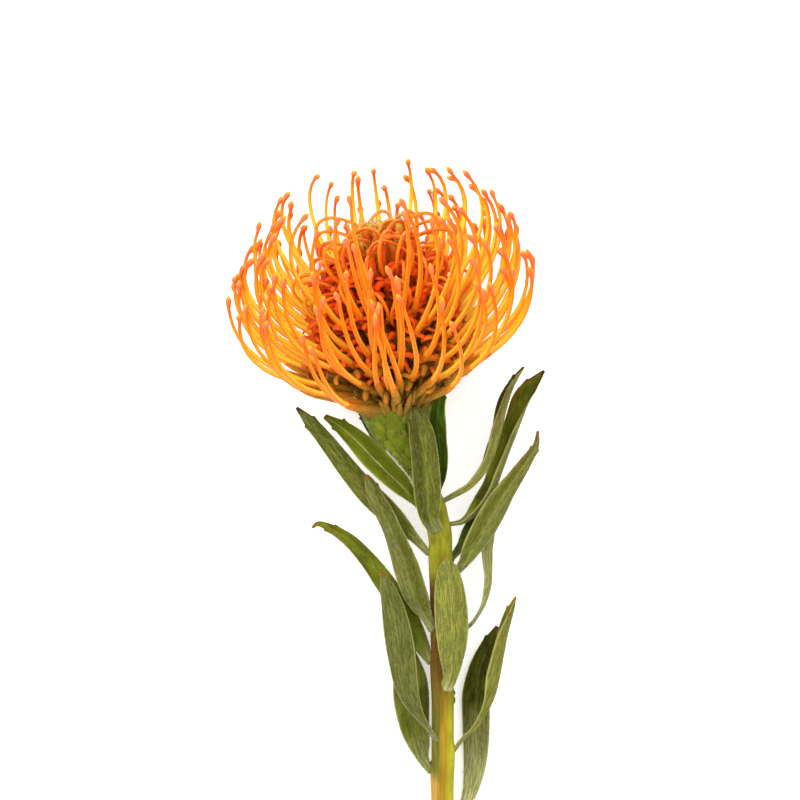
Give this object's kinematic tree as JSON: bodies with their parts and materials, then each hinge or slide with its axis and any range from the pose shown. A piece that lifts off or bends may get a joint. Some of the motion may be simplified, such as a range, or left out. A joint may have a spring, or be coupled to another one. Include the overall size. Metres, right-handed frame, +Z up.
{
  "type": "pincushion protea cut flower",
  "caption": "Orange pincushion protea on a cut leafy stem, lying on a flat surface, with curved styles round a domed centre and narrow grey-green leaves",
  "frame": {"origin": "on the surface that the flower lies on, under the middle of the whole object's box", "axes": "+Y runs from the cut end of the stem to the flower head; +X is to the right when seen from above with the head away; +Z is up"},
  "size_m": [0.1031, 0.2339, 0.0933],
  "materials": {
    "stem": "matte, yellow-green with a pinkish tan front",
    "involucre": "matte, finely hairy",
    "flower_head": "satin, orange with red tips",
    "leaf_01": "matte, grey-green with fine hairs",
    "leaf_02": "matte, grey-green with fine hairs",
    "leaf_03": "matte, grey-green with fine hairs",
    "leaf_04": "matte, grey-green with fine hairs",
    "leaf_05": "matte, grey-green with fine hairs",
    "leaf_06": "matte, grey-green with fine hairs",
    "leaf_07": "matte, grey-green with fine hairs",
    "leaf_08": "matte, grey-green with fine hairs",
    "leaf_09": "matte, grey-green with fine hairs",
    "leaf_10": "matte, grey-green with fine hairs",
    "leaf_11": "matte, grey-green with fine hairs",
    "leaf_12": "matte, grey-green with fine hairs",
    "leaf_13": "matte, grey-green with fine hairs",
    "leaf_14": "matte, grey-green with fine hairs",
    "leaf_15": "matte, grey-green with fine hairs",
    "leaf_16": "matte, grey-green with fine hairs",
    "leaf_17": "matte, grey-green with fine hairs"
  },
  "bodies": {
    "root": {"stem": "stem", "involucre": "involucre", "flower_head": "flower_head", "leaf_01": "leaf_01", "leaf_02": "leaf_02", "leaf_03": "leaf_03", "leaf_04": "leaf_04", "leaf_05": "leaf_05", "leaf_06": "leaf_06", "leaf_07": "leaf_07", "leaf_08": "leaf_08", "leaf_09": "leaf_09", "leaf_10": "leaf_10", "leaf_11": "leaf_11", "leaf_12": "leaf_12", "leaf_13": "leaf_13", "leaf_14": "leaf_14", "leaf_15": "leaf_15", "leaf_16": "leaf_16", "leaf_17": "leaf_17"}
  },
  "joints": []
}
